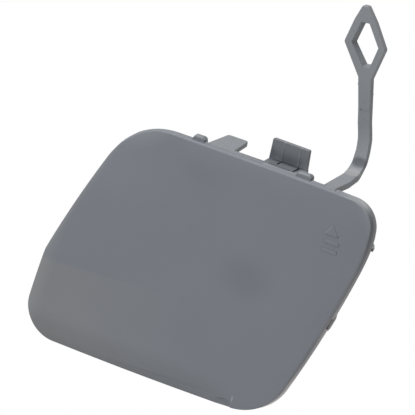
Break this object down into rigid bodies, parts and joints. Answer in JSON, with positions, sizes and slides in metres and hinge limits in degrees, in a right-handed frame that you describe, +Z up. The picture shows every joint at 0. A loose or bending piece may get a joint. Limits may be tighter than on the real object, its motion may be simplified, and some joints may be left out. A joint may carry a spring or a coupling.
{
  "type": "bumper tow hook cover",
  "caption": "Crowned plastic cover that snaps over the towing eye hole in a car bumper and hangs from a tether strap with a diamond loop.",
  "frame": {"origin": "middle of the plane that the rim's back edge sits on, at the centre of the face outline", "axes": "+Z up with the cover in its bumper, +Y back into the bumper, +X to the right seen from the front"},
  "size_m": [0.1036, 0.0262, 0.1213],
  "materials": {
    "grey_plastic": "unpainted primer-grey moulded plastic, fine satin surface"
  },
  "bodies": {
    "root": {"cover": "grey_plastic"}
  },
  "joints": []
}
